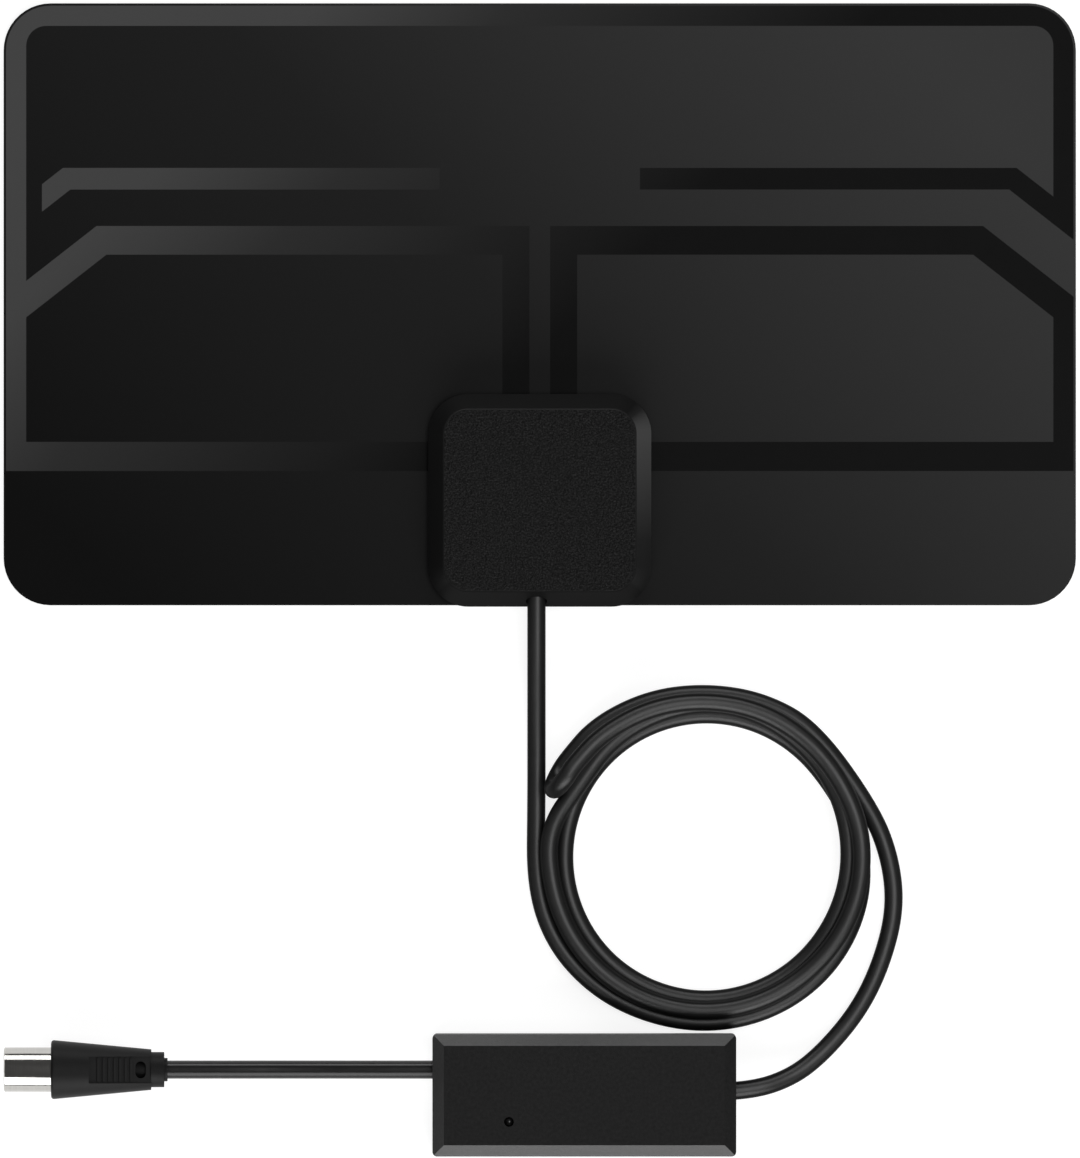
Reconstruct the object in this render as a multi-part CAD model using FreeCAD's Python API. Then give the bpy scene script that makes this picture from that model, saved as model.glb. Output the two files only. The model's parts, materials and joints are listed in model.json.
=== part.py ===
import FreeCAD, Part
import math
import os

# Flat indoor television antenna: a film panel with foil conductors, a feed box at its lower
# edge, a coiled coaxial lead, an in-line amplifier and a coaxial plug.
# Millimetres. The panel lies face up: +X right, +Y towards its upper edge, +Z up.

V = FreeCAD.Vector

# Panel
panel_width = 228.0
panel_height = 128.0
panel_corner_r = 10.0
film_thickness = 0.6
foil_thickness = 0.1

# Conductor pattern, measured in from the panel's edges, ends and middle
border_inset = 0.5
border_width = 4.3
border_inner_r = 4.25
bend_angle = math.radians(38.0)
arm_from_top = 47.35
arm_width = 6.1
arm_corner_from_end = 19.75
upper_bar_from_top = 35.0
upper_bar_width = 4.6
upper_bar_corner_from_end = 12.6
upper_bar_inner_x = 21.3
upper_bar_end_gap = 8.15
feed_gap = 4.4
feed_bar_width = 5.75
lower_band_from_bottom = 34.75
lower_band_width = 6.2

# Feed box
box_width = 47.4
box_length = 45.2
box_corner_r = 8.5
box_overhang = 0.3
back_thickness = 2.0
back_edge_chamfer = 0.5
front_height = 9.0
skirt_height = 2.0
slope_run = 3.2
plateau_edge_r = 0.5
box_wall = 1.6
box_boss_r = 2.5
box_boss_x = 16.0
box_boss_y = 15.0

# Matching board in the feed box
board_width = 26.0
board_length = 22.0
board_offset_y = 3.0
board_thickness = 1.0
contact_size = 5.0
contact_height = 1.5
balun_width = 7.0
balun_length = 6.0
balun_height = 4.0
balun_from_edge = 6.0
balun_bore_r = 0.8
balun_bore_x = 1.75

# Lead
cable_d = 3.9
cable_clearance = 0.1
box_hole_clearance = 0.3
cable_on_board = 6.0
crimp_r = 2.7
crimp_length = 3.0
crimp_from_edge = 8.0
feed_x = -0.7
feed_level_run = 3.7
feed_slope_run = 24.5
# How much of the shorter run beside a corner its bend takes
bend_share = 0.45

# Coil
coil_from_panel = 53.5
coil_entry_r = 36.3
coil_inner_r = 28.5
coil_outer_r = 36.5
coil_height = 7.4
coil_edge_r = 3.0
coil_entry_length = 12.6
coil_fold_r = 4.2
coil_fold_angle = math.radians(12.0)
coil_fold_out_r = 38.4
coil_fold_lead = 10.0

# Tail of the lead: places from the coil's middle, then its rise to the amplifier's hole
tail_first_run = 8.5
tail_places = [(40.0, -11.0), (37.3, -22.0), (32.7, -31.9), (25.6, -40.7)]
tail_rise_x = 12.29
tail_rise_y = 3.1
tail_rise_z = 3.2
tail_level_run = 2.79

# In-line amplifier
amp_x = 9.46
amp_from_coil = 50.5
amp_length = 64.5
amp_width = 26.0
amp_height = 14.0
amp_corner_r = 1.0
amp_bevel = 2.45
amp_foot_chamfer = 0.6
amp_wall = 1.5
amp_cable_in_y = 0.7
amp_cable_out_y = 5.35
amp_cable_hold = 5.0
amp_board_thickness = 1.0
amp_board_clearance = 0.4
amp_standoff = 0.7
amp_boss_r = 2.3
amp_boss_places = [(-14.5, 8.2), (24.0, -8.2)]
chip_size = 5.0
chip_height = 1.0
led_x = -16.0
led_y = -5.6
led_hole_r = 1.04
led_clearance = 0.09
led_flange_r = 1.7
led_flange_height = 1.0
led_recess = 0.8

# Power socket in the amplifier's left end
jack_y = -5.3
jack_length = 9.0
jack_width = 7.0
jack_barrel_r = 2.8
jack_clearance = 0.1
jack_bore_r = 1.8
jack_bore_depth = 8.5
jack_pin_r = 0.65
jack_pin_recess = 1.0

# Screws
screw_r = 1.0
screw_head_r = 2.0
screw_head_height = 1.0
screw_clearance = 0.2
screw_recess = 0.2
screw_grip = 5.0
pilot_clearance = 0.1

# Coaxial plug
plug_cable_length = 56.3
plug_neck_length = 0.7
plug_neck_r = 2.5
plug_collar_length = 2.76
plug_collar_r = 3.75
hood_length = 21.26
hood_front_r = 6.325
hood_rear_r = 4.325
hood_edge_r = 0.6
hood_bore_r = 2.5
core_clearance = 0.05
shell_r = 4.75
shell_wall = 0.55
shell_length = 10.0
shell_seat = 6.0
shell_step = 0.15
shell_lip = 0.2
pin_r = 1.175
pin_recess = 0.6
pin_point = 1.0
grip_length = 13.2
grip_width = 5.7
grip_depth = 1.2
rib_count = 7
rib_pitch = 1.17
rib_width = 0.5
rib_height = 0.5
rib_first = 1.8
rib_end_gap = 0.4
catch_length = 2.2
catch_width = 3.6
catch_from_rear = 2.2
plug_cable_hold = 5.0

# Worked-out levels and places
arm_top = panel_height / 2 - arm_from_top
arm_corner_x = panel_width / 2 - arm_corner_from_end
upper_bar_top = panel_height / 2 - upper_bar_from_top
upper_bar_corner_x = panel_width / 2 - upper_bar_corner_from_end
upper_bar_end_x = panel_width / 2 - upper_bar_end_gap
lower_band_top = lower_band_from_bottom - panel_height / 2
cable_r = cable_d / 2
coil_x = feed_x + coil_entry_r
coil_y = -panel_height / 2 - coil_from_panel
amp_y = coil_y - amp_from_coil
film_bottom = back_thickness
film_top = film_bottom + film_thickness
foil_bottom = film_top - foil_thickness
box_y = box_length / 2 - panel_height / 2 - box_overhang
front_top = film_top + front_height
skirt_top = film_top + skirt_height
board_bottom = film_top + contact_height
board_top = board_bottom + board_thickness
board_y = box_y + board_offset_y
feed_z = board_top + cable_r
feed_bar_inner = feed_gap / 2
feed_bar_outer = feed_bar_inner + feed_bar_width
lower_band_bottom = lower_band_top - lower_band_width
cable_level = hood_front_r
amp_left = amp_x - amp_length / 2
amp_right = amp_x + amp_length / 2
amp_in_y = amp_y + amp_cable_in_y
plug_y = amp_y + amp_cable_out_y
amp_board_bottom = amp_wall + amp_standoff
amp_board_top = amp_board_bottom + amp_board_thickness
neck_x = amp_left - plug_cable_length
hood_rear_x = neck_x - plug_neck_length - plug_collar_length
hood_front_x = hood_rear_x - hood_length
shell_rear_x = hood_front_x + shell_seat
shell_tip_x = hood_front_x - shell_length
shell_seat_r = shell_r - shell_step
# The part's origin is under the middle of panel and feed box together.
to_origin = V(0, box_overhang / 2, 0)


def save(name, shape):
    """Moves a finished piece into the part's frame and writes it."""
    moved = shape.copy()
    moved.translate(to_origin)
    moved.exportStep("parts/" + name + ".step")


def box(x0, x1, y0, y1, z0, z1):
    return Part.makeBox(x1 - x0, y1 - y0, z1 - z0, V(x0, y0, z0))


def post(x, y, r, z0, z1):
    return Part.makeCylinder(r, z1 - z0, V(x, y, z0))


def rod_x(x0, x1, y, z, r):
    return Part.makeCylinder(r, x1 - x0, V(x0, y, z), V(1, 0, 0))


def rod_y(y0, y1, x, z, r):
    return Part.makeCylinder(r, y1 - y0, V(x, y0, z), V(0, 1, 0))


def rounded_rect(width, length, r, x, y, z):
    """A closed outline of four straight sides and four quarter arcs."""
    edges = []
    ends = []
    for step in range(4):
        turn = math.pi / 2 * step
        sx = 1 if step in (0, 3) else -1
        sy = 1 if step in (0, 1) else -1
        mid = V(x + sx * (width / 2 - r), y + sy * (length / 2 - r), z)
        angles = [turn + math.pi / 4 * eighth for eighth in range(3)]
        arc = [mid + V(r * math.cos(a), r * math.sin(a), 0) for a in angles]
        edges.append(Part.Arc(*arc).toShape())
        ends.append((arc[0], arc[2]))
    for step in range(4):
        edges.append(Part.LineSegment(ends[step][1], ends[(step + 1) % 4][0]).toShape())
    return Part.Wire(Part.__sortEdges__(edges))


def rounded_slab(width, length, r, x, y, z0, z1):
    return Part.Face(rounded_rect(width, length, r, x, y, z0)).extrude(V(0, 0, z1 - z0))


def edges_at(shape, z):
    """The edges that lie whole at one height."""
    return [e for e in shape.Edges if all(abs(v.Z - z) < 1e-6 for v in e.Vertexes)]


def polygon_slab(points, z0, z1):
    corners = [V(x, y, z0) for x, y in points]
    return Part.Face(Part.makePolygon(corners + corners[:1])).extrude(V(0, 0, z1 - z0))


def revolved_x(profile, y, z):
    """Turns an outline of (x, radius) corners about a line along X."""
    corners = [V(x, y + r, z) for x, r in profile]
    face = Part.Face(Part.makePolygon(corners + corners[:1]))
    return face.revolve(V(0, y, z), V(1, 0, 0), 360)


def foil(points):
    return polygon_slab(points, foil_bottom, film_top)


def bent_bar(side, inner_x, top, width, corner_x, end_x):
    """A level foil bar whose outer end bends down at the pattern's angle, at constant width."""
    slope = math.tan(bend_angle)
    low_corner_x = corner_x - width * math.tan(bend_angle / 2)
    low = top - width
    points = [
        (inner_x, top),
        (corner_x, top),
        (end_x, top - (end_x - corner_x) * slope),
        (end_x, low - (end_x - low_corner_x) * slope),
        (low_corner_x, low),
        (inner_x, low),
    ]
    return foil([(side * x, y) for x, y in points])


def below_bend(corner_x, y, floor_y):
    """The ground to the right of and under a line that falls at the pattern's angle."""
    far_x = panel_width
    fall = (far_x - corner_x) * math.tan(bend_angle)
    return foil([(corner_x, y), (far_x, y - fall), (far_x, floor_y - fall), (corner_x, floor_y - fall)])


def border_ring():
    outer_w = panel_width - 2 * border_inset
    outer_h = panel_height - 2 * border_inset
    outer_r = panel_corner_r - border_inset
    ring = rounded_slab(outer_w, outer_h, outer_r, 0, 0, foil_bottom, film_top)
    inner_w = outer_w - 2 * border_width
    inner_h = outer_h - 2 * border_width
    return ring.cut(rounded_slab(inner_w, inner_h, border_inner_r, 0, 0, foil_bottom, film_top))


def conductors():
    """The two radiators and the floating bar, each one flat piece of foil."""
    reach = panel_width / 2 - border_inset
    ring = border_ring()
    under = box(-panel_width, panel_width, -panel_height, lower_band_bottom, 0, front_top)
    upper_low_x = upper_bar_corner_x - upper_bar_width * math.tan(bend_angle / 2)
    upper_low = upper_bar_top - upper_bar_width
    band_right = ring.common(below_bend(arm_corner_x, arm_top, lower_band_bottom)).cut(under)
    band_left = ring.cut(below_bend(upper_low_x, upper_low, -panel_height)).cut(under)

    def frame(side, band):
        bar = [(side * feed_bar_inner, arm_top), (side * feed_bar_outer, arm_top)]
        bar += [(side * feed_bar_outer, lower_band_bottom), (side * feed_bar_inner, lower_band_bottom)]
        low = [(side * feed_bar_inner, lower_band_top), (side * reach, lower_band_top)]
        low += [(side * reach, lower_band_bottom), (side * feed_bar_inner, lower_band_bottom)]
        arm = bent_bar(side, feed_bar_inner, arm_top, arm_width, arm_corner_x, reach)
        return band.fuse([foil(bar), foil(low), arm])

    upper_right = bent_bar(1, upper_bar_inner_x, upper_bar_top, upper_bar_width, upper_bar_corner_x, reach)
    upper_left = bent_bar(
        -1, upper_bar_inner_x, upper_bar_top, upper_bar_width, upper_bar_corner_x, upper_bar_end_x
    )
    left = frame(-1, band_left).fuse(upper_right).removeSplitter()
    right = frame(1, band_right).removeSplitter()
    return left, right, upper_left


def box_screw_places():
    return [(sx * box_boss_x, box_y + sy * box_boss_y) for sx in (-1, 1) for sy in (-1, 1)]


def film_panel(foils):
    film = rounded_slab(panel_width, panel_height, panel_corner_r, 0, 0, film_bottom, film_top)
    for x, y in box_screw_places():
        film = film.cut(post(x, y, screw_r + screw_clearance, film_bottom, film_top))
    return film.cut(foils)


def slope_inset(z):
    """How far the feed box's sloped sides have come in at a height."""
    return slope_run * (z - skirt_top) / (front_top - skirt_top)


def front_form(wall, top):
    """The front cover's form, or its hollow when a wall is taken off."""
    width = box_width - 2 * wall
    length = box_length - 2 * wall
    r = box_corner_r - wall
    inset = slope_inset(top)
    skirt = rounded_slab(width, length, r, 0, box_y, film_top, skirt_top)
    foot = rounded_rect(width, length, r, 0, box_y, skirt_top)
    head = rounded_rect(width - 2 * inset, length - 2 * inset, r - inset, 0, box_y, top)
    return skirt.fuse(Part.makeLoft([foot, head], True, True)).removeSplitter()


def box_front_cover():
    form = front_form(0, front_top)
    form = form.makeFillet(plateau_edge_r, edges_at(form, front_top))
    roof = front_top - box_wall
    cover = form.cut(front_form(box_wall, roof))
    for x, y in box_screw_places():
        boss = post(x, y, box_boss_r, film_top, roof)
        hole = post(x, y, screw_r + pilot_clearance, film_top, film_top + screw_grip + screw_clearance)
        cover = cover.fuse(boss).cut(hole)
    edge_y = box_y - box_length / 2
    hole = rod_y(edge_y, edge_y + box_length / 2, feed_x, feed_z, cable_r + box_hole_clearance)
    return cover.cut(hole).removeSplitter()


def box_back_cover():
    plate = rounded_slab(box_width, box_length, box_corner_r, 0, box_y, 0, back_thickness)
    plate = plate.makeChamfer(back_edge_chamfer, edges_at(plate, 0))
    for x, y in box_screw_places():
        seat = screw_recess + screw_head_height
        plate = plate.cut(post(x, y, screw_head_r + screw_clearance, 0, seat))
        plate = plate.cut(post(x, y, screw_r + screw_clearance, seat, back_thickness))
    return plate


def screw(x, y, tip):
    """A screw driven up from below, with its head sunk in the cover."""
    seat = screw_recess + screw_head_height
    head = post(x, y, screw_head_r, screw_recess, seat)
    return head.fuse(post(x, y, screw_r, seat, tip)).removeSplitter()


def matching_board():
    return box(
        -board_width / 2, board_width / 2, board_y - board_length / 2, board_y + board_length / 2,
        board_bottom, board_top,
    )


def contact(side):
    """A brass pad between one radiator and the board."""
    x = side * (feed_bar_inner + feed_bar_width / 2)
    y = lower_band_top - lower_band_width / 2
    half = contact_size / 2
    return box(x - half, x + half, y - half, y + half, film_top, board_bottom)


def balun_core():
    """A ferrite core with two bores side by side."""
    y1 = board_y + board_length / 2 - balun_from_edge
    y0 = y1 - balun_length
    core = box(-balun_width / 2, balun_width / 2, y0, y1, board_top, board_top + balun_height)
    for side in (-1, 1):
        core = core.cut(rod_y(y0, y1, side * balun_bore_x, board_top + balun_height / 2, balun_bore_r))
    return core


def cable_crimp():
    y = box_y - box_length / 2 + crimp_from_edge
    ring = rod_y(y, y + crimp_length, feed_x, feed_z, crimp_r)
    return ring.cut(rod_y(y, y + crimp_length, feed_x, feed_z, cable_r))


def cord_tube(name, points):
    """A round tube along straight runs joined by the largest arcs that the runs allow."""
    edges = []
    radii = []
    start = points[0]
    for before, corner, after in zip(points, points[1:], points[2:]):
        into = (corner - before).normalize()
        away = (after - corner).normalize()
        half_turn = into.getAngle(away) / 2
        reach = bend_share * min(before.distanceToPoint(corner), corner.distanceToPoint(after))
        r = reach / math.tan(half_turn)
        radii.append(round(r, 1))
        arc_start = corner - into * reach
        arc_end = corner + away * reach
        inward = (away - into).normalize()
        arc_mid = corner + inward * (r / math.cos(half_turn) - r)
        edges.append(Part.LineSegment(start, arc_start).toShape())
        edges.append(Part.Arc(arc_start, arc_mid, arc_end).toShape())
        start = arc_end
    edges.append(Part.LineSegment(start, points[-1]).toShape())
    path = Part.Wire(edges)
    section = Part.Wire(Part.makeCircle(cable_r, points[0], points[1] - points[0]))
    tube = path.makePipeShell([section], True, True)
    ratio = tube.Volume / (math.pi * cable_r ** 2 * path.Length)
    print(name, "radii", radii, "length", round(path.Length, 1), "volume ratio", round(ratio, 4))
    return tube


def feed_cable():
    start_y = board_y - board_length / 2 + cable_on_board
    level_y = box_y - box_length / 2 - feed_level_run
    points = [
        V(feed_x, start_y, feed_z),
        V(feed_x, level_y, feed_z),
        V(feed_x, level_y - feed_slope_run, cable_r),
        V(feed_x, coil_y + coil_entry_length, cable_r),
    ]
    return cord_tube("feed_cable", points)


def fold_frame():
    """The coil's middle and the outward and forward directions where the lead folds back."""
    middle = V(coil_x, coil_y, cable_r)
    outward = V(math.cos(coil_fold_angle), math.sin(coil_fold_angle), 0)
    forward = V(-math.sin(coil_fold_angle), math.cos(coil_fold_angle), 0)
    return middle, outward, forward


def cable_coil():
    """The coil's outer form, with the entering lead and the fold that the tail comes out of."""
    width = coil_outer_r - coil_inner_r
    mean_r = (coil_outer_r + coil_inner_r) / 2
    section = rounded_rect(width, coil_height, coil_edge_r, 0, 0, 0)
    section.rotate(V(0, 0, 0), V(1, 0, 0), 90)
    section.translate(V(coil_x + mean_r, coil_y, coil_height / 2))
    ring = Part.Face(section).revolve(V(coil_x, coil_y, 0), V(0, 0, 1), 360)
    entry = rod_y(coil_y, coil_y + coil_entry_length, feed_x, cable_r, cable_r)
    middle, outward, forward = fold_frame()
    tail_start = middle + outward * coil_fold_out_r
    fold_end = middle + outward * (coil_fold_out_r - 2 * coil_fold_r)
    fold_middle = middle + outward * (coil_fold_out_r - coil_fold_r)
    disc = Part.Face(Part.Wire(Part.makeCircle(cable_r, tail_start, forward)))
    fold = disc.revolve(fold_middle, V(0, 0, 1), 180)
    lead = Part.makeCylinder(cable_r, coil_fold_lead, fold_end, forward * -1)
    return ring.fuse([entry, fold, lead]).removeSplitter()


def tail_cable():
    middle, outward, forward = fold_frame()
    start = middle + outward * coil_fold_out_r
    points = [start, start - forward * tail_first_run]
    points += [V(coil_x + x, coil_y + y, cable_r) for x, y in tail_places]
    points += [
        V(amp_right + tail_rise_x, amp_in_y + tail_rise_y, tail_rise_z),
        V(amp_right + tail_level_run, amp_in_y, cable_level),
        V(amp_right - amp_cable_hold, amp_in_y, cable_level),
    ]
    return cord_tube("tail_cable", points)


def plug_cable():
    start = neck_x - plug_cable_hold
    return rod_x(start, amp_left + amp_cable_hold, plug_y, cable_level, cable_r)


def amp_form(wall, bottom, top):
    """The amplifier's outer block with its bevelled top, or its hollow when a wall is taken off."""
    length = amp_length - 2 * wall
    width = amp_width - 2 * wall
    block = box(amp_x - length / 2, amp_x + length / 2, amp_y - width / 2, amp_y + width / 2, bottom, top)
    block = block.makeChamfer(amp_bevel, edges_at(block, top))
    if wall:
        return block
    return block.common(rounded_slab(length, width, amp_corner_r, amp_x, amp_y, bottom, top))


def amp_openings():
    """The holes through the amplifier's ends for two leads and the socket."""
    hole_r = cable_r + cable_clearance
    right = rod_x(amp_right - amp_wall, amp_right, amp_in_y, cable_level, hole_r)
    left = rod_x(amp_left, amp_left + amp_wall, plug_y, cable_level, hole_r)
    barrel_r = jack_barrel_r + jack_clearance
    socket = rod_x(amp_left, amp_left + amp_wall, amp_y + jack_y, cable_level, barrel_r)
    return [right, left, socket]


def amp_boss_spots():
    return [(amp_x + x, amp_y + y) for x, y in amp_boss_places]


def amp_top_cover():
    roof = amp_height - amp_wall
    cover = amp_form(0, cable_level, amp_height).cut(amp_form(amp_wall, cable_level, roof))
    for x, y in amp_boss_spots():
        boss = post(x, y, amp_boss_r, amp_board_top, roof)
        hole_top = amp_board_top + screw_grip + screw_clearance
        cover = cover.fuse(boss).cut(post(x, y, screw_r + pilot_clearance, amp_board_top, hole_top))
    cover = cover.cut(post(amp_x + led_x, amp_y + led_y, led_hole_r, roof, amp_height))
    return cover.cut(amp_openings()).removeSplitter()


def amp_bottom_cover():
    tray = rounded_slab(amp_length, amp_width, amp_corner_r, amp_x, amp_y, 0, cable_level)
    tray = tray.makeChamfer(amp_foot_chamfer, edges_at(tray, 0))
    half_l = amp_length / 2 - amp_wall
    half_w = amp_width / 2 - amp_wall
    hollow = box(amp_x - half_l, amp_x + half_l, amp_y - half_w, amp_y + half_w, amp_wall, cable_level)
    tray = tray.cut(hollow)
    seat = screw_recess + screw_head_height
    for x, y in amp_boss_spots():
        tray = tray.fuse(post(x, y, amp_boss_r, amp_wall, amp_board_bottom))
        tray = tray.cut(post(x, y, screw_head_r + screw_clearance, 0, seat))
        tray = tray.cut(post(x, y, screw_r + screw_clearance, seat, amp_board_bottom))
    return tray.cut(amp_openings()).removeSplitter()


def amp_board():
    half_l = amp_length / 2 - amp_wall - amp_board_clearance
    half_w = amp_width / 2 - amp_wall - amp_board_clearance
    board = box(
        amp_x - half_l, amp_x + half_l, amp_y - half_w, amp_y + half_w, amp_board_bottom, amp_board_top
    )
    for x, y in amp_boss_spots():
        board = board.cut(post(x, y, screw_r + screw_clearance, amp_board_bottom, amp_board_top))
    return board


def amp_chip():
    half = chip_size / 2
    top = amp_board_top + chip_height
    return box(amp_x - half, amp_x + half, amp_y - half, amp_y + half, amp_board_top, top)


def power_led():
    """A flanged light guide that stands on the board and ends in the cover's hole."""
    x = amp_x + led_x
    y = amp_y + led_y
    stem_r = led_hole_r - led_clearance
    top = amp_height - led_recess
    stem = post(x, y, stem_r, amp_board_top, top - stem_r)
    flange = post(x, y, led_flange_r, amp_board_top, amp_board_top + led_flange_height)
    return stem.fuse([flange, Part.makeSphere(stem_r, V(x, y, top - stem_r))]).removeSplitter()


def dc_jack():
    y = amp_y + jack_y
    inside = amp_left + amp_wall
    body = box(
        inside, inside + jack_length, y - jack_width / 2, y + jack_width / 2,
        amp_board_top, 2 * cable_level - amp_board_top,
    )
    body = body.fuse(rod_x(amp_left, inside, y, cable_level, jack_barrel_r)).removeSplitter()
    return body.cut(rod_x(amp_left, amp_left + jack_bore_depth, y, cable_level, jack_bore_r))


def dc_jack_pin():
    tip = amp_left + jack_pin_recess
    return rod_x(tip, amp_left + jack_bore_depth, amp_y + jack_y, cable_level, jack_pin_r)


def plug_hood():
    """The tapered hood with a ribbed grip and a catch window on two sides."""
    profile = [
        (hood_front_x, shell_seat_r),
        (hood_front_x, hood_front_r),
        (hood_rear_x, hood_rear_r),
        (hood_rear_x, hood_bore_r),
        (shell_rear_x, hood_bore_r),
        (shell_rear_x, shell_seat_r),
    ]
    hood = revolved_x(profile, plug_y, cable_level)
    circles = [e for e in hood.Edges if isinstance(e.Curve, Part.Circle)]
    rim = [e for e in circles if abs(e.Curve.Radius - hood_front_r) < 1e-6]
    hood = hood.makeFillet(hood_edge_r, rim)
    cut, ribs = grip_tools()
    axis_point = V(0, plug_y, cable_level)
    for turn in (0, 180):
        pocket = cut.copy()
        pocket.rotate(axis_point, V(1, 0, 0), turn)
        rib_set = ribs.copy()
        rib_set.rotate(axis_point, V(1, 0, 0), turn)
        hood = hood.cut(pocket).fuse(rib_set).cut(catch_slot(turn))
    return hood.removeSplitter()


def grip_tools():
    """The grip's pocket and its ribs on the upper side, tilted with the hood's taper."""
    taper = math.degrees(math.atan((hood_front_r - hood_rear_r) / hood_length))
    floor = hood_rear_r - grip_depth
    hinge = V(hood_rear_x, plug_y, cable_level + hood_rear_r)
    half = grip_width / 2
    top = cable_level + hood_front_r
    floor_z = cable_level + floor
    start_x = hood_rear_x - grip_length
    rib_half = half - rib_end_gap
    pocket = box(start_x, hood_rear_x + plug_collar_length, plug_y - half, plug_y + half, floor_z, top)
    ribs = []
    for step in range(rib_count):
        x = start_x + rib_first + step * rib_pitch
        rib_top = floor_z + rib_height
        ribs.append(box(x, x + rib_width, plug_y - rib_half, plug_y + rib_half, floor_z, rib_top))
    rib_set = ribs[0].fuse(ribs[1:])
    for shape in (pocket, rib_set):
        shape.rotate(hinge, V(0, 1, 0), taper)
    return pocket, rib_set


def catch_slot(turn):
    """An oval window through the hood's wall, across its axis."""
    x = hood_rear_x - catch_from_rear
    r = catch_length / 2
    reach = catch_width / 2 - r
    low = cable_level + hood_bore_r - catch_width / 2
    high = cable_level + hood_front_r
    slot = box(x - r, x + r, plug_y - reach, plug_y + reach, low, high)
    slot = slot.fuse([post(x, plug_y - reach, r, low, high), post(x, plug_y + reach, r, low, high)])
    slot.rotate(V(0, plug_y, cable_level), V(1, 0, 0), turn)
    return slot


def plug_core():
    """The moulded core in the hood, with the collar and neck behind it."""
    core_r = hood_bore_r - core_clearance
    collar_end = hood_rear_x + plug_collar_length
    profile = [
        (shell_rear_x, 0),
        (shell_rear_x, core_r),
        (hood_rear_x, core_r),
        (hood_rear_x, plug_collar_r),
        (collar_end, plug_collar_r),
        (collar_end, plug_neck_r),
        (neck_x, plug_neck_r),
        (neck_x, 0),
    ]
    core = revolved_x(profile, plug_y, cable_level)
    return core.cut(rod_x(neck_x - plug_cable_hold, neck_x, plug_y, cable_level, cable_r))


def plug_shell():
    """The plated barrel that goes into the socket, chamfered at its lip."""
    inner_r = shell_r - shell_wall
    profile = [
        (shell_tip_x, inner_r),
        (shell_tip_x, shell_r - shell_lip),
        (shell_tip_x + shell_lip, shell_r),
        (hood_front_x, shell_r),
        (hood_front_x, shell_seat_r),
        (shell_rear_x, shell_seat_r),
        (shell_rear_x, inner_r),
    ]
    return revolved_x(profile, plug_y, cable_level)


def plug_insulator():
    disc = rod_x(hood_front_x, shell_rear_x, plug_y, cable_level, shell_r - shell_wall)
    return disc.cut(rod_x(hood_front_x, shell_rear_x, plug_y, cable_level, pin_r))


def plug_pin():
    tip = shell_tip_x + pin_recess
    profile = [
        (tip, 0),
        (tip, pin_r / 2),
        (tip + pin_point, pin_r),
        (shell_rear_x, pin_r),
        (shell_rear_x, 0),
    ]
    return revolved_x(profile, plug_y, cable_level)


def main():
    os.makedirs("parts", exist_ok=True)
    left, right, upper_left = conductors()
    save("film_panel", film_panel([left, right, upper_left]))
    save("left_radiator", left)
    save("right_radiator", right)
    save("upper_left_bar", upper_left)
    save("box_front_cover", box_front_cover())
    save("box_back_cover", box_back_cover())
    save("matching_board", matching_board())
    save("left_contact", contact(-1))
    save("right_contact", contact(1))
    save("balun_core", balun_core())
    save("cable_crimp", cable_crimp())
    for number, (x, y) in enumerate(box_screw_places(), 1):
        save(f"box_screw_{number}", screw(x, y, film_top + screw_grip))
    save("feed_cable", feed_cable())
    save("cable_coil", cable_coil())
    save("tail_cable", tail_cable())
    save("plug_cable", plug_cable())
    save("amp_top_cover", amp_top_cover())
    save("amp_bottom_cover", amp_bottom_cover())
    save("amp_board", amp_board())
    save("amp_chip", amp_chip())
    save("power_led", power_led())
    save("dc_jack", dc_jack())
    save("dc_jack_pin", dc_jack_pin())
    for number, (x, y) in enumerate(amp_boss_spots(), 1):
        save(f"amp_screw_{number}", screw(x, y, amp_board_top + screw_grip))
    save("plug_hood", plug_hood())
    save("plug_core", plug_core())
    save("plug_shell", plug_shell())
    save("plug_insulator", plug_insulator())
    save("plug_pin", plug_pin())


main()
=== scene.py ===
# %% [markdown]
# # A flat indoor television antenna
# The part lies face up: a film panel with foil conductors, a feed box, a coiled lead, an in-line
# amplifier and a plug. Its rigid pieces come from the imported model, so this lesson starts by
# loading them. What Blender adds is the flexible lead, the finishes and the light.

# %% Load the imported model
import json
from math import cos, pi, radians, sin

import bpy
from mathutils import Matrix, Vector


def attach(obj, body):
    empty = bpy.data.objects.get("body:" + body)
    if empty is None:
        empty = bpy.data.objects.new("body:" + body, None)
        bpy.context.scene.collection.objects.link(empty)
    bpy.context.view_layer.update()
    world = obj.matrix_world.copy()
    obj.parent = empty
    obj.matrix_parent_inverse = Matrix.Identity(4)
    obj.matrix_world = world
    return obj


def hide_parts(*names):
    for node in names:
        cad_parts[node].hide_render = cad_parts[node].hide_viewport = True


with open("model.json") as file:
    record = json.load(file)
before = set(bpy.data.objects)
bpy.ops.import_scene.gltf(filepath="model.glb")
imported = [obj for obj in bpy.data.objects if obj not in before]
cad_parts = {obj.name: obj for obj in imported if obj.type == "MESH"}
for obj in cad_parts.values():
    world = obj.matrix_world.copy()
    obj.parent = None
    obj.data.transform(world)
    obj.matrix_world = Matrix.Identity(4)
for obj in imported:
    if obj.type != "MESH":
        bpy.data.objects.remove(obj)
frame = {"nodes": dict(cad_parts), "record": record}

scene = bpy.context.scene
nodes = frame["nodes"]
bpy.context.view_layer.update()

# %% [markdown]
# ## The camera
# The photograph looks straight down on the part. A long lens from five metres keeps the edges
# nearly parallel, as they are there. An orthographic camera would do that too, but a long lens
# also keeps the slight difference in scale between the panel and the taller pieces.

# %% Camera
mm = 0.001
picture_centre = Vector((0.05, -58.26, 8.0)) * mm
picture_height = 245.96 * mm
camera_distance = 5.0
sensor = 36.0

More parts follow.
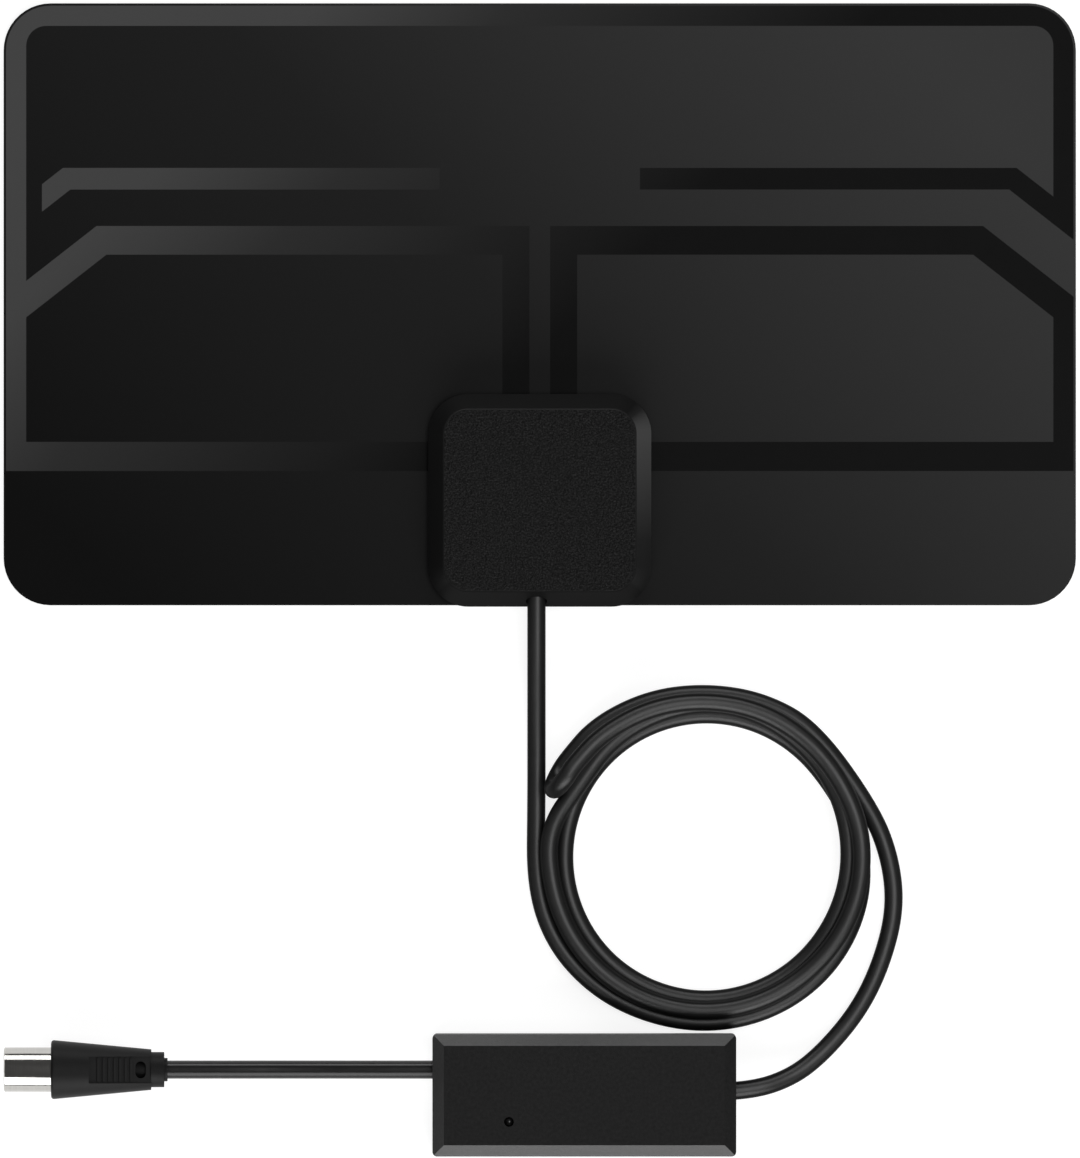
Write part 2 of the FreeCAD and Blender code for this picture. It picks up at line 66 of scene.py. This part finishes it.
camera = bpy.data.objects.new("photo_camera", bpy.data.cameras.new("photo_camera"))
camera.data.sensor_width = sensor
camera.data.lens = sensor * camera_distance / picture_height
camera.location = picture_centre + Vector((0, 0, camera_distance))
scene.collection.objects.link(camera)
scene.camera = camera
print("lens", round(camera.data.lens, 1), "mm")

# %% [markdown]
# ## The lead
# A coaxial lead is a fixed length of something springy. It leaves the feed box, drops to the
# surface, winds into a loose coil, folds back over the coil's outside, and goes on to the
# amplifier. It could be a swept mesh, but a NURBS curve with a round bevel stays smooth at every
# bend and is one open line, so its length can be measured. The curve is pulled towards its
# control points without touching them, so a turn of the coil needs its points a little further
# out.

# %% Straight stretch from the feed box
cable_d = 3.9
lying = cable_d / 2
feed_x = -0.7
feed_height = 7.05
feed_points = [
    (feed_x, -43.55, feed_height),
    (feed_x, -67.85, feed_height),
    (feed_x, -92.35, lying),
    (feed_x, -104.75, lying),
]
print("feed points", len(feed_points))

# %% [markdown]
# The turns are written as stations: an angle, how far the lead is from the coil's middle
# there, and how high it lies. The first turn lies outside on the surface. On the right it moves
# in to leave room for the way back, and so becomes the second turn, inside it. Each later turn
# climbs in the same place, onto the strands below. At the left and the bottom the third turn
# lies in the groove between the first two.

# %% Turns of the coil
coil_middle = Vector((35.6, -117.35, 0))
turn_step = 20
pull = 8 / (6 + 2 * cos(radians(turn_step)))
turn_stations = [
    (180, 36.4, lying),
    (205, 36.8, lying),
    (230, 36.1, lying),
    (255, 35.2, lying),
    (285, 34.9, lying),
    (315, 34.6, lying),
    (340, 33.8, lying),
    (370, 31.9, lying),
    (392, 30.2, lying),
    (450, 30.3, lying),
    (495, 30.4, lying),
    (540, 30.4, lying),
    (585, 30.5, lying),
    (630, 30.35, lying),
    (670, 30.1, lying),
    (690, 30.0, 3.1),
    (710, 30.1, 5.0),
    (730, 30.3, 5.95),
    (750, 30.8, 5.95),
    (810, 32.4, 5.5),
    (845, 31.8, 5.85),
    (870, 30.9, 5.9),
    (890, 33.9, 4.75),
    (910, 33.3, 4.85),
    (935, 33.3, 4.7),
    (970, 32.8, 5.1),
    (990, 32.6, 5.25),
    (1030, 32.3, 5.45),
    (1055, 32.6, 6.9),
    (1075, 32.8, 8.4),
    (1090, 32.8, 9.4),
    (1110, 32.3, 9.9),
    (1170, 32.9, 9.6),
    (1205, 33.9, 11.0),
    (1230, 34.45, 12.0),
]


def station_between(stations, angle):
    """Radius and height at an angle, eased from one station to the next."""
    for (a0, r0, z0), (a1, r1, z1) in zip(stations, stations[1:]):
        if min(a0, a1) <= angle <= max(a0, a1):
            t = (angle - a0) / (a1 - a0)
            ease = t * t * (3 - 2 * t)
            return r0 + (r1 - r0) * ease, z0 + (z1 - z0) * ease


def round_the_coil(radius, angle, height):
    """A point at a radius and angle round the coil's middle."""
    turn = radians(angle)
    return coil_middle + Vector((radius * cos(turn), radius * sin(turn), height))


def along_the_coil(stations, angles):
    """Control points at these angles, for a curve that passes through the stations."""
    points = []
    for angle in angles:
        radius, height = station_between(stations, angle)
        points.append(round_the_coil(radius * pull, angle, height))
    return points


first_angle = 190
last_angle = 1210
coil_points = along_the_coil(turn_stations, range(first_angle, last_angle + 1, turn_step))
print("coil points", len(coil_points))

# %% [markdown]
# The photograph shows both ends going into the coil the same way round, so the lead turns back
# somewhere in it. Here it does so at the upper left, where the coil is widest. The end of the
# last turn climbs there and folds over the outside in an upright hairpin, which from above is
# hardly wider than one strand. The hairpin's points are corners of a polygon round it, which
# the curve touches between corners.

# %% Fold over the outside
fold_angle = 148
fold_step = 36
fold_top_r, fold_top_z = turn_stations[-1][1:]
fold_foot_r = 36.2
fold_top = round_the_coil(fold_top_r, fold_angle, fold_top_z)
fold_foot = round_the_coil(fold_foot_r, fold_angle, lying)
fold_middle = (fold_top + fold_foot) / 2
fold_corner_r = (fold_top - fold_foot).length / 2 / cos(radians(fold_step / 2))
rise = (fold_top - fold_foot).normalized()
forward = round_the_coil(1, fold_angle + 90, 0) - coil_middle
fold_points = []
for step in range(180 // fold_step + 2):
    turn = radians(90 + fold_step / 2 - fold_step * step)
    fold_points.append(fold_middle + (rise * sin(turn) + forward * cos(turn)) * fold_corner_r)
print("fold points", len(fold_points))

# %% [markdown]
# From the fold the lead runs back along the outside of the coil, leaves it on the right, swings
# round to the amplifier's right end and lifts off the surface just before it, because the hole
# is at half the amplifier's height.

# %% Way back and tail
half_height = 6.325
back_stations = [
    (135, fold_foot_r, lying),
    (120, 35.5, lying),
    (90, 34.5, lying),
    (45, 34.8, lying),
    (27, 35.1, lying),
]
back_angles = range(130, 30, -turn_step)
back_points = along_the_coil(back_stations, back_angles)
tail_points = [
    (70.6, -107.5, lying),
    (74.6, -117.9, lying),
    (75.6, -128.35, lying),
    (72.9, -139.35, lying),
    (68.3, -149.25, lying),
    (61.2, -158.05, lying),
    (54.0, -164.05, 3.2),
    (44.5, -167.15, half_height),
    (36.71, -167.15, half_height),
]


def cord_curve(name, points):
    """A round cord on one NURBS line whose control points are given in millimetres."""
    curve = bpy.data.curves.new(name, "CURVE")
    curve.dimensions = "3D"
    spline = curve.splines.new("NURBS")
    spline.points.add(len(points) - 1)
    for place, point in zip(spline.points, points):
        place.co = (*(Vector(point) * mm), 1)
        place.radius = cable_d / 2 * mm
    spline.order_u = 3
    spline.use_endpoint_u = True
    spline.resolution_u = 10
    curve.bevel_depth = 1
    curve.bevel_resolution = 6
    cord = bpy.data.objects.new(name, curve)
    scene.collection.objects.link(cord)
    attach(cord, "root")
    return cord


def line_length(cord):
    """Length of a cord's centre line, in metres."""
    line = cord.data.copy()
    line.bevel_depth = 0
    probe = bpy.data.objects.new("probe", line)
    mesh = bpy.data.meshes.new_from_object(probe)
    places = [v.co for v in mesh.vertices]
    total = sum((b - a).length for a, b in zip(places, places[1:]))
    bpy.data.objects.remove(probe)
    bpy.data.curves.remove(line)
    bpy.data.meshes.remove(mesh)
    return total


lead = cord_curve("lead", feed_points + coil_points + fold_points + back_points + tail_points)
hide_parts("feed_cable", "cable_coil", "tail_cable")
lead_length = line_length(lead)
print("lead", round(lead_length, 3), "m")

# %% [markdown]
# A short stub joins the amplifier to the plug. Both ends hold it at the same height, and it is
# too short to sag by more than a fraction of a millimetre.

# %% Stub to the plug
plug_y = -162.5
stub_sag = 0.6
stub_points = [
    (-17.79, plug_y, half_height),
    (-34.0, plug_y, half_height),
    (-51.0, plug_y, half_height - stub_sag),
    (-68.0, plug_y, half_height),
    (-84.09, plug_y, half_height),
]
stub = cord_curve("stub", stub_points)
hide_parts("plug_cable")
stub_length = line_length(stub)
print("stub", round(stub_length, 4), "m")

# %% [markdown]
# ## Finishes
# Every finish is a principled shader with a few nodes. The nodes read the part's own
# coordinates in metres, so a grain keeps its real size on every piece. Tones are written as
# the 8-bit greys that a picture editor shows, and turned into linear light here.

# %% Helpers for finishes


def grey(level, warmth=0.0):
    """Linear colour of an 8-bit grey by the sRGB curve, a little warmer or cooler."""
    linear = ((level / 255 + 0.055) / 1.055) ** 2.4
    return (linear * (1 + warmth), linear, linear * (1 - warmth), 1)


def new_finish(name, roughness, specular=0.5, metallic=0.0):
    """A material and its shader, with the values that are the same all over it."""
    finish = bpy.data.materials.new(name)
    finish.use_nodes = True
    shader = finish.node_tree.nodes["Principled BSDF"]
    shader.inputs["Roughness"].default_value = roughness
    shader.inputs["Specular IOR Level"].default_value = specular
    shader.inputs["Metallic"].default_value = metallic
    return finish, shader


def node_in(finish, kind, **inputs):
    """Adds a node and sets its named inputs."""
    node = finish.node_tree.nodes.new("ShaderNode" + kind)
    for name, value in inputs.items():
        node.inputs[name.replace("_", " ")].default_value = value
    return node


def join(finish, output, entry):
    """Links an output to an input."""
    finish.node_tree.links.new(output, entry)


def math_of(finish, operation, *values):
    """One number made from one or two others."""
    node = node_in(finish, "Math")
    node.operation = operation
    for value, entry in zip(values, node.inputs):
        join(finish, value, entry)
    return node.outputs["Value"]


def place_on_part(finish):
    """The part's own coordinates, in metres."""
    return node_in(finish, "TexCoord").outputs["Object"]


def grain(finish, size, detail=3.0, stretch=(1, 1, 1)):
    """Cloudy noise whose lumps have about that size in millimetres."""
    scaled = node_in(finish, "Mapping", Scale=stretch)
    join(finish, place_on_part(finish), scaled.inputs["Vector"])
    noise = node_in(finish, "TexNoise", Scale=1 / (size * mm), Detail=detail)
    join(finish, scaled.outputs["Vector"], noise.inputs["Vector"])
    return noise.outputs["Fac"]


def between(finish, value, low, high, start=0.0, end=1.0):
    """Maps a value from one range to another and stops at its ends."""
    ramp = node_in(finish, "MapRange", From_Min=start, From_Max=end, To_Min=low, To_Max=high)
    join(finish, value, ramp.inputs["Value"])
    return ramp.outputs["Result"]


def colour_by(finish, shader, value, *tones):
    """Colours a surface through evenly spaced tones as a value goes from 0 to 1."""
    ramp = node_in(finish, "ValToRGB")
    stops = ramp.color_ramp.elements
    for step in range(1, len(tones) - 1):
        stops.new(step / (len(tones) - 1))
    for stop, tone in zip(stops, tones):
        stop.color = tone
    join(finish, value, ramp.inputs["Fac"])
    join(finish, ramp.outputs["Color"], shader.inputs["Base Color"])


def raise_by(finish, shader, value, height, strength=1.0):
    """Bumps a surface by up to a height in millimetres."""
    bump = node_in(finish, "Bump", Strength=strength, Distance=height * mm)
    join(finish, value, bump.inputs["Height"])
    join(finish, bump.outputs["Normal"], shader.inputs["Normal"])


def across(finish, direction, start, end):
    """Goes from 0 to 1 along a direction over the part, between two places in millimetres."""
    dot = node_in(finish, "VectorMath")
    dot.operation = "DOT_PRODUCT"
    dot.inputs[1].default_value = direction
    join(finish, place_on_part(finish), dot.inputs[0])
    return between(finish, dot.outputs["Value"], 0, 1, start * mm, end * mm)


def facing(finish):
    """The way a surface faces, as X, Y and Z."""
    parts = node_in(finish, "SeparateXYZ")
    join(finish, node_in(finish, "NewGeometry").outputs["Normal"], parts.inputs["Vector"])
    return parts.outputs


def looking_up(finish, start=0.96, end=0.995):
    """1 on faces that look straight up, and 0 on slopes and walls."""
    return between(finish, facing(finish)["Z"], 0, 1, start, end)


print("tone of mid grey", round(grey(128)[1], 3))

# %% [markdown]
# ### Film and foil
# The panel is a black film with a soft sheen, and its conductors are lacquered foil. In the
# photograph they are lighter than the film at the upper left and blacker than it towards the
# right. Lamps alone don't give that on two such black surfaces, so each has a fade of painted
# light and shade across the part, in its colour. Two grains of different size keep either
# surface from looking like paint.

# %% Film and foil
film, film_shader = new_finish("satin_film", roughness=0.5, specular=0.06)
# Painted light: the film's colour lightens from the lower left to the upper right, in place of
# sheen.
film_painted_light = across(film, (1, 1, 0), -150, 135)
colour_by(film, film_shader, film_painted_light, grey(4), grey(24), grey(47))
join(film, between(film, grain(film, 9.0), 0.48, 0.54), film_shader.inputs["Roughness"])
raise_by(film, film_shader, grain(film, 0.35), 0.01, 0.5)

foil, foil_shader = new_finish("lacquered_foil", roughness=0.48, specular=0.06)
# Painted light and shade: the foil's colour is lighter at the upper left and darkens towards the
# right.
foil_painted_light = across(foil, (1, -1, 0), -150, 10)
colour_by(foil, foil_shader, foil_painted_light, grey(62), grey(59), grey(38), grey(25), grey(5))
join(foil, between(foil, grain(foil, 6.0), 0.45, 0.52), foil_shader.inputs["Roughness"])
raise_by(foil, foil_shader, grain(foil, 0.25), 0.01, 0.5)
print("film and foil finished")

# %% [markdown]
# ### Moulded plastics
# The feed box has a pebbled top and smooth walls, so its bump is kept to faces that look up.
# Its walls are nearly black, and only the right one is greyer towards its upper end: painted
# light, set by which way a wall faces and where it lies on the part. The amplifier has a finer,
# spark-eroded texture that is dull on top and smoother on the bevels, and the plug's hood is
# matt.

# %% Feed box plastic
box_plastic, box_shader = new_finish("pebbled_plastic", roughness=0.5)
box_top = looking_up(box_plastic)
box_facing = facing(box_plastic)

wall_shine = between(box_plastic, box_facing["Y"], 0.01, 0.12, -0.6, -0.1)
box_shine = node_in(box_plastic, "MapRange", To_Max=0.05)
join(box_plastic, box_top, box_shine.inputs["Value"])
join(box_plastic, wall_shine, box_shine.inputs["To Min"])
join(box_plastic, box_shine.outputs["Result"], box_shader.inputs["Specular IOR Level"])

# Painted light: walls that face right are greyer towards their upper end, in place of light from
# the right.
rightward = between(box_plastic, box_facing["X"], 0.1, 1, 0.55, 0.9)
upper_end = across(box_plastic, (0, 1, 0), -75, -25)
wall_painted_light = math_of(box_plastic, "MULTIPLY", rightward, upper_end)
speckle = between(box_plastic, grain(box_plastic, 0.35), -0.3, 0.55, 0.25, 0.75)
# Top faces take the real speckle of the pebbling, and walls take the painted light.
box_speckle_and_painted_light = node_in(box_plastic, "MapRange")
join(box_plastic, box_top, box_speckle_and_painted_light.inputs["Value"])
join(box_plastic, wall_painted_light, box_speckle_and_painted_light.inputs["To Min"])
join(box_plastic, speckle, box_speckle_and_painted_light.inputs["To Max"])
colour_by(box_plastic, box_shader, box_speckle_and_painted_light.outputs["Result"], grey(13), grey(36), grey(80))

pebble_size = 0.4
pebbles = node_in(box_plastic, "TexVoronoi", Scale=1 / (pebble_size * mm))
pebbles.feature = "SMOOTH_F1"
join(box_plastic, place_on_part(box_plastic), pebbles.inputs["Vector"])
pebble_height = math_of(box_plastic, "MULTIPLY", pebbles.outputs["Distance"], box_top)
raise_by(box_plastic, box_shader, pebble_height, 0.3, 0.9)
print("feed box plastic finished")

# %% Amplifier and plug plastics
amp_plastic, amp_shader = new_finish("spark_textured_plastic", roughness=0.52)
amp_facing = facing(amp_plastic)
long_bevel = math_of(amp_plastic, "ABSOLUTE", amp_facing["Y"])
long_shine = between(amp_plastic, long_bevel, 0.06, 0.68, 0.3, 0.65)
left_shine = between(amp_plastic, amp_facing["X"], 0.35, 0.06, -0.65, -0.3)
amp_shine = math_of(amp_plastic, "MAXIMUM", long_shine, left_shine)
join(amp_plastic, amp_shine, amp_shader.inputs["Specular IOR Level"])
amp_roughness = between(amp_plastic, looking_up(amp_plastic), 0.4, 0.52)
join(amp_plastic, amp_roughness, amp_shader.inputs["Roughness"])
colour_by(amp_plastic, amp_shader, grain(amp_plastic, 0.7), grey(14), grey(33))
raise_by(amp_plastic, amp_shader, grain(amp_plastic, 0.3, detail=4.0), 0.06, 0.8)

plug_plastic, plug_shader = new_finish("matt_plastic", roughness=0.5, specular=0.12)
colour_by(plug_plastic, plug_shader, grain(plug_plastic, 1.0), grey(14), grey(20))
raise_by(plug_plastic, plug_shader, grain(plug_plastic, 0.2), 0.02, 0.6)
print("amplifier and plug finished")

# %% [markdown]
# The lead's satin jacket shines only where it looks up, which keeps its highlight as narrow as
# in the photograph. The stub to the plug is a little glossier and shines all round.

# %% Jackets


def jacket_finish(name, shine, dull_below, bright_above, smooth, rough):
    """A black jacket that shines where it looks up enough."""
    finish, shader = new_finish(name, roughness=rough)
    colour_by(finish, shader, grain(finish, 1.5), grey(20), grey(28))
    top = looking_up(finish, dull_below, bright_above)
    join(finish, between(finish, top, 0.02, shine), shader.inputs["Specular IOR Level"])
    join(finish, between(finish, grain(finish, 4.0), smooth, rough), shader.inputs["Roughness"])
    raise_by(finish, shader, grain(finish, 0.4), 0.01, 0.6)
    return finish


jacket = jacket_finish(
    "lead_jacket", shine=0.55, dull_below=0.7, bright_above=0.98, smooth=0.36, rough=0.46)
stub_jacket = jacket_finish(
    "stub_jacket", shine=0.25, dull_below=-1, bright_above=0, smooth=0.2, rough=0.26)
print("jackets finished")

# %% [markdown]
# ### Metals and inner pieces
# The plug's barrel is turned brass under bright nickel, with fine rings left by the tool. The
# screws are plain steel. The boards, the ferrite core and the contacts are out of sight, but
# each still has its own surface.

# %% Metals
nickel, nickel_shader = new_finish("bright_nickel", roughness=0.16, metallic=1.0)
turned = grain(nickel, 0.12, stretch=(1, 0.01, 0.01))
colour_by(nickel, nickel_shader, turned, (0.42, 0.41, 0.39, 1), (0.56, 0.55, 0.53, 1))
join(nickel, between(nickel, grain(nickel, 1.5), 0.06, 0.16), nickel_shader.inputs["Roughness"])

brass, brass_shader = new_finish("plain_brass", roughness=0.3, metallic=1.0)
colour_by(brass, brass_shader, grain(brass, 0.8), (0.62, 0.44, 0.2, 1), (0.78, 0.58, 0.3, 1))

steel, steel_shader = new_finish("plain_steel", roughness=0.36, metallic=1.0)
colour_by(steel, steel_shader, grain(steel, 0.4), (0.28, 0.28, 0.29, 1), (0.4, 0.4, 0.41, 1))
raise_by(steel, steel_shader, grain(steel, 0.15), 0.01, 0.5)
print("metals finished")

# %% Boards, ferrite, insulator and lamp
board, board_shader = new_finish("solder_mask", roughness=0.3)
colour_by(board, board_shader, grain(board, 3.0), (0.012, 0.08, 0.03, 1), (0.03, 0.16, 0.07, 1))

ferrite, ferrite_shader = new_finish("ferrite", roughness=0.7)
colour_by(ferrite, ferrite_shader, grain(ferrite, 0.3), grey(48), grey(66))
raise_by(ferrite, ferrite_shader, grain(ferrite, 0.2), 0.03, 0.8)

insulator, insulator_shader = new_finish("white_insulator", roughness=0.45)
colour_by(insulator, insulator_shader, grain(insulator, 1.5), grey(212, 0.03), grey(230, 0.03))

lens, lens_shader = new_finish("dark_lamp", roughness=0.12)
colour_by(lens, lens_shader, grain(lens, 0.8), grey(16), grey(30))
print("inner pieces finished")

# %% [markdown]
# The record names a finish for every solid, so one loop hands them out. The two cords are new
# here and get theirs by name.

# %% Give each piece its finish
finishes = {
    "film": film, "foil": foil, "box_plastic": box_plastic, "amp_plastic": amp_plastic,
    "jacket": jacket, "plug_plastic": plug_plastic, "nickel": nickel, "brass": brass,
    "steel": steel, "insulator": insulator, "board": board, "ferrite": ferrite, "lens": lens,
}
for entry in frame["record"]["subparts"]:
    piece = nodes[entry["node"]]
    piece.data.materials.clear()
    piece.data.materials.append(finishes[entry["material_slot"]])
lead.data.materials.append(jacket)
stub.data.materials.append(stub_jacket)
print("finishes", len(finishes))

# %% [markdown]
# The moulded pieces have flat faces that meet in small rounds. Shading that is smoothed over
# all of them evenly makes the flats look pillowed, so the larger faces are given more weight
# and the change of direction stays on the rounds.

# %% Keep flat faces flat
for piece in nodes.values():
    crisp = piece.modifiers.new("flat_faces", "WEIGHTED_NORMAL")
    crisp.weight = 100
    crisp.keep_sharp = True
print("weighted", len(nodes))

# %% [markdown]
# ## Floor and light
# The part lies on a plain white surface. The floor is a real diffuse plane that takes the
# part's shadow, with a little light of its own towards the camera and in reflections so that
# it reads as white. Three soft boxes light the part: one overhead to the right, which gives
# the lead its highlight and the film its sheen, and one low at each long side for the bevels.

# %% Floor
floor_size = 6.0
floor_gap = 0.02
floor_mesh = bpy.data.meshes.new("floor")
half = floor_size / 2
floor_mesh.from_pydata(
    [(-half, -half, 0), (half, -half, 0), (half, half, 0), (-half, half, 0)], [], [(0, 1, 2, 3)])
floor = bpy.data.objects.new("floor", floor_mesh)
floor.location.z = -floor_gap * mm
scene.collection.objects.link(floor)

floor_tone = 0.3
floor_glow = 0.82
floor_paint = bpy.data.materials.new("white_floor")
floor_paint.use_nodes = True
floor_paint.node_tree.nodes.clear()
matt = node_in(floor_paint, "BsdfDiffuse", Color=(floor_tone, floor_tone, floor_tone, 1))
glow = node_in(floor_paint, "Emission")
both = node_in(floor_paint, "AddShader")
out = node_in(floor_paint, "OutputMaterial")
ray = node_in(floor_paint, "LightPath").outputs
seen = math_of(floor_paint, "MAXIMUM", ray["Is Camera Ray"], ray["Is Glossy Ray"])
shown = math_of(floor_paint, "MAXIMUM", seen, ray["Is Transmission Ray"])
join(floor_paint, between(floor_paint, shown, 0, floor_glow), glow.inputs["Strength"])
join(floor_paint, matt.outputs["BSDF"], both.inputs[0])
join(floor_paint, glow.outputs["Emission"], both.inputs[1])
join(floor_paint, both.outputs["Shader"], out.inputs["Surface"])
floor_mesh.materials.append(floor_paint)
print("floor", floor_size, "m")

# %% Light
room_tone = 0.08
world = bpy.data.worlds.new("studio")
world.use_nodes = True
background = world.node_tree.nodes["Background"]
background.inputs["Color"].default_value = (room_tone, room_tone, room_tone, 1)
scene.world = world


def soft_box(name, place, aim, width, height, radiance):
    """An area lamp of a given brightness per area, turned towards a point."""
    data = bpy.data.lights.new(name, "AREA")
    data.shape = "RECTANGLE"
    data.size = width
    data.size_y = height
    data.energy = radiance * pi * width * height
    box = bpy.data.objects.new(name, data)
    box.location = place
    box.rotation_euler = (Vector(aim) - Vector(place)).to_track_quat("-Z", "Y").to_euler()
    scene.collection.objects.link(box)


soft_box("overhead_box", place=(0.37, -0.07, 1.1), aim=(0.37, -0.07, 0),
         width=0.7, height=0.85, radiance=3.0)
soft_box("near_box", place=(0, -0.95, 0.5), aim=(0, 0, 0.5),
         width=1.3, height=0.8, radiance=5.0)
soft_box("far_box", place=(-0.1, 0.95, 0.5), aim=(-0.1, 0, 0.5),
         width=1.3, height=0.5, radiance=5.0)
scene.view_settings.view_transform = "Standard"
